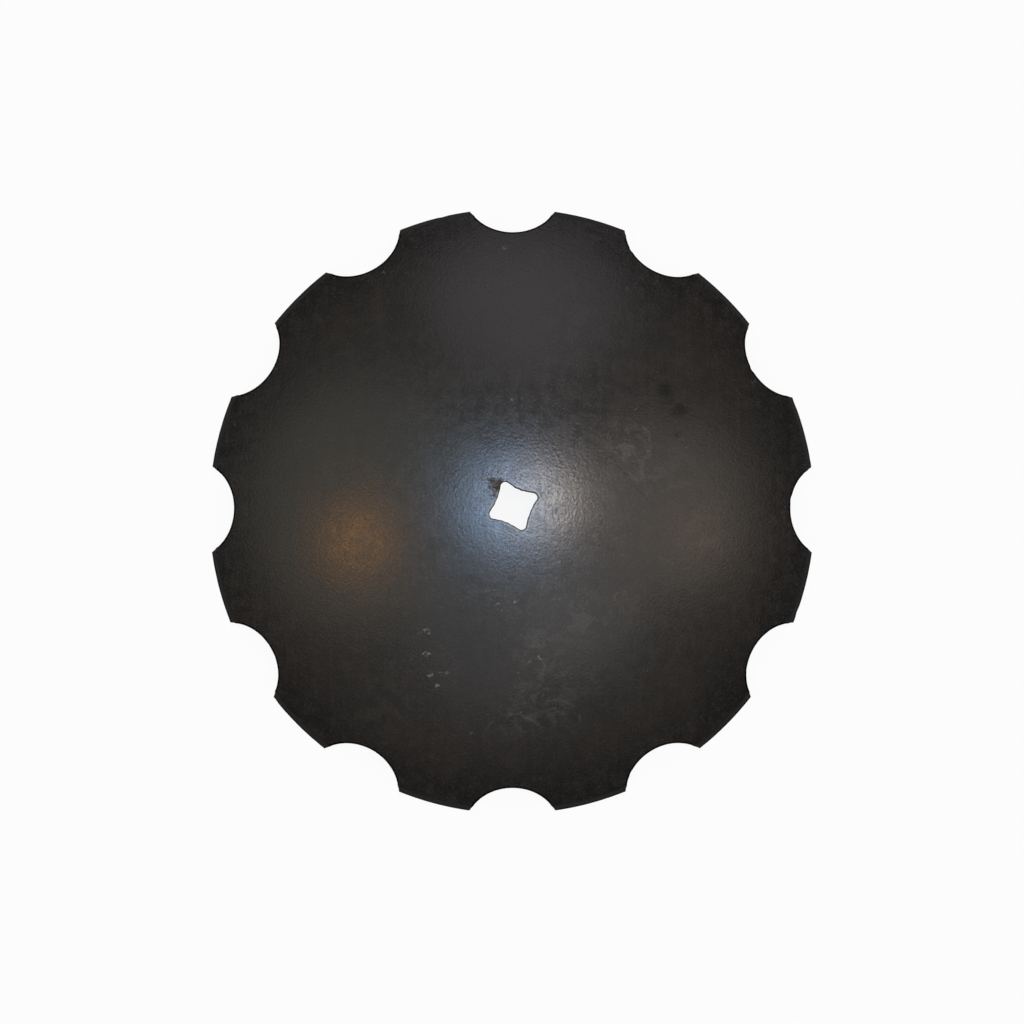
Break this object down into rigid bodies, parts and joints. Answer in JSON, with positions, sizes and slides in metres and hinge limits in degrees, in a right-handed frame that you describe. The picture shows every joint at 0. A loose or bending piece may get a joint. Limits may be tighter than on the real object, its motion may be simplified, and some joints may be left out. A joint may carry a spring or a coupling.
{
  "type": "harrow disc blade",
  "caption": "Dished round steel blade with scalloped notches round its ground rim and a square axle hole, lying convex face up.",
  "frame": {"origin": "on the axis of the axle hole, in the plane that the rim rests on", "axes": "+Z along the axle's axis towards the convex face; X and Y square to the sides of the axle hole"},
  "size_m": [0.56, 0.56, 0.0745],
  "materials": {
    "varnished_steel": "dark brown-grey varnish over hardened steel, satin, with scuffs and rubbed edges"
  },
  "bodies": {
    "root": {"disc_blade": "varnished_steel"}
  },
  "joints": []
}
